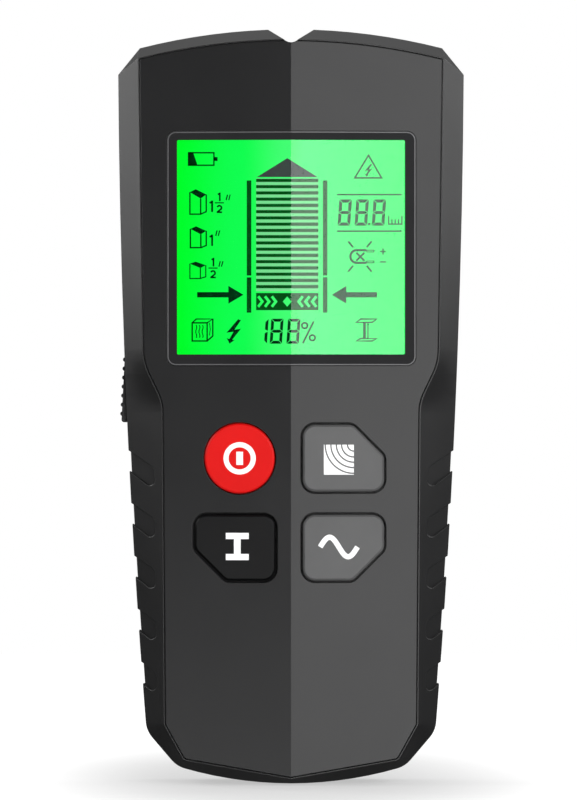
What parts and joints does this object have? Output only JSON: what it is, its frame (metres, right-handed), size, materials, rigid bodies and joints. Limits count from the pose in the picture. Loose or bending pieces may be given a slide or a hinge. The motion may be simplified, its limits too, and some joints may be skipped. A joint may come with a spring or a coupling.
{
  "type": "stud finder",
  "caption": "Hand-held electronic stud finder with a backlit green display, press keys, a rocking side key, ribbed grip cuts and a hinged battery door.",
  "frame": {"origin": "centre of the flat back, level with the middle of the tool's length", "axes": "+Z along the length towards the sensing end with the notch, +Y out of the flat back towards the wall, -Y out of the keypad, +X to the right seen from the front"},
  "size_m": [0.0764, 0.0281, 0.1668],
  "materials": {
    "housing_black": "fine satin moulded texture",
    "face_black": "satin",
    "door_black": "fine satin moulded texture",
    "bezel_black": "matt printed frame",
    "clear_lens": "clear, polished",
    "key_red": "satin gloss",
    "key_grey": "satin",
    "key_dark": "satin",
    "side_black": "ribbed, matt",
    "lcd_glass": "clear",
    "lcd_film": "tinted film",
    "light_guide": "milky, lit green",
    "led_body": "clear domed",
    "holder_white": "plain",
    "zebra_rubber": "matt",
    "board_green": "solder mask",
    "chip_black": "moulded",
    "switch_black": "moulded",
    "switch_cover": "stamped",
    "plunger": "moulded",
    "copper": "bare copper",
    "bobbin": "moulded",
    "adhesive": "double-sided film",
    "can_metal": "painted steel jacket",
    "cell": "shrink sleeve",
    "terminal": "plated",
    "snap_black": "soft moulded",
    "foam": "open foam",
    "red_wire": "insulation",
    "black_wire": "insulation",
    "screw_steel": "zinc plated"
  },
  "bodies": {
    "housing": {"front_housing": "housing_black", "face_panel": "face_black", "panel_adhesive": "adhesive", "lens_adhesive": "adhesive", "display_lens": "clear_lens", "lens_bezel": "bezel_black", "rear_housing": "housing_black", "lcd_front_glass": "lcd_glass", "lcd_rear_glass": "lcd_glass", "lcd_polarizers": "lcd_film", "light_guide": "light_guide", "backlight_leds": "led_body", "lcd_holder": "holder_white", "zebra_strips": "zebra_rubber", "main_board": "board_green", "microcontroller": "chip_black", "board_components": "plunger", "key_switch_bodies": "switch_black", "key_switch_covers": "switch_cover", "side_switch_body": "switch_black", "buzzer": "chip_black", "sensor_board": "board_green", "sensor_pads": "copper", "board_header": "chip_black", "coil_winding": "copper", "coil_bobbin": "bobbin", "battery_can": "can_metal", "battery_cells": "cell", "battery_top_plate": "snap_black", "battery_terminals": "terminal", "battery_snap": "snap_black", "snap_contacts": "terminal", "red_lead": "red_wire", "black_lead": "black_wire", "battery_foam": "foam", "housing_screws": "screw_steel", "board_screws": "screw_steel", "lever_pin": "screw_steel"},
    "power_key": {"power_button": "key_red", "power_stem": "plunger"},
    "wood_key": {"wood_button": "key_grey", "wood_stem": "plunger"},
    "metal_key": {"metal_button": "key_dark", "metal_stem": "plunger"},
    "wire_key": {"wire_button": "key_grey", "wire_stem": "plunger"},
    "scan_key": {"scan_lever": "side_black", "side_switch_stem": "plunger"},
    "door": {"battery_door": "door_black"}
  },
  "joints": [
    {"name": "power_press", "type": "slide", "parent": "housing", "child": "power_key", "axis": [0, 1, 0], "range_m": [0, 0.0006], "stiffness_N_per_m": 1500},
    {"name": "wood_press", "type": "slide", "parent": "housing", "child": "wood_key", "axis": [0, 1, 0], "range_m": [0, 0.0006], "stiffness_N_per_m": 1500},
    {"name": "metal_press", "type": "slide", "parent": "housing", "child": "metal_key", "axis": [0, 1, 0], "range_m": [0, 0.0006], "stiffness_N_per_m": 1500},
    {"name": "wire_press", "type": "slide", "parent": "housing", "child": "wire_key", "axis": [0, 1, 0], "range_m": [0, 0.0006], "stiffness_N_per_m": 1500},
    {"name": "scan_rock", "type": "hinge", "parent": "housing", "child": "scan_key", "pos_m": [-0.0323, -0.0138, 0.0135], "axis": [0, -1, 0], "range_deg": [0, 2.5], "stiffness_Nm_per_rad": 0.5},
    {"name": "door_swing", "type": "hinge", "parent": "housing", "child": "door", "pos_m": [0, -0.001, -0.075], "axis": [-1, 0, 0], "range_deg": [0, 90]}
  ]
}
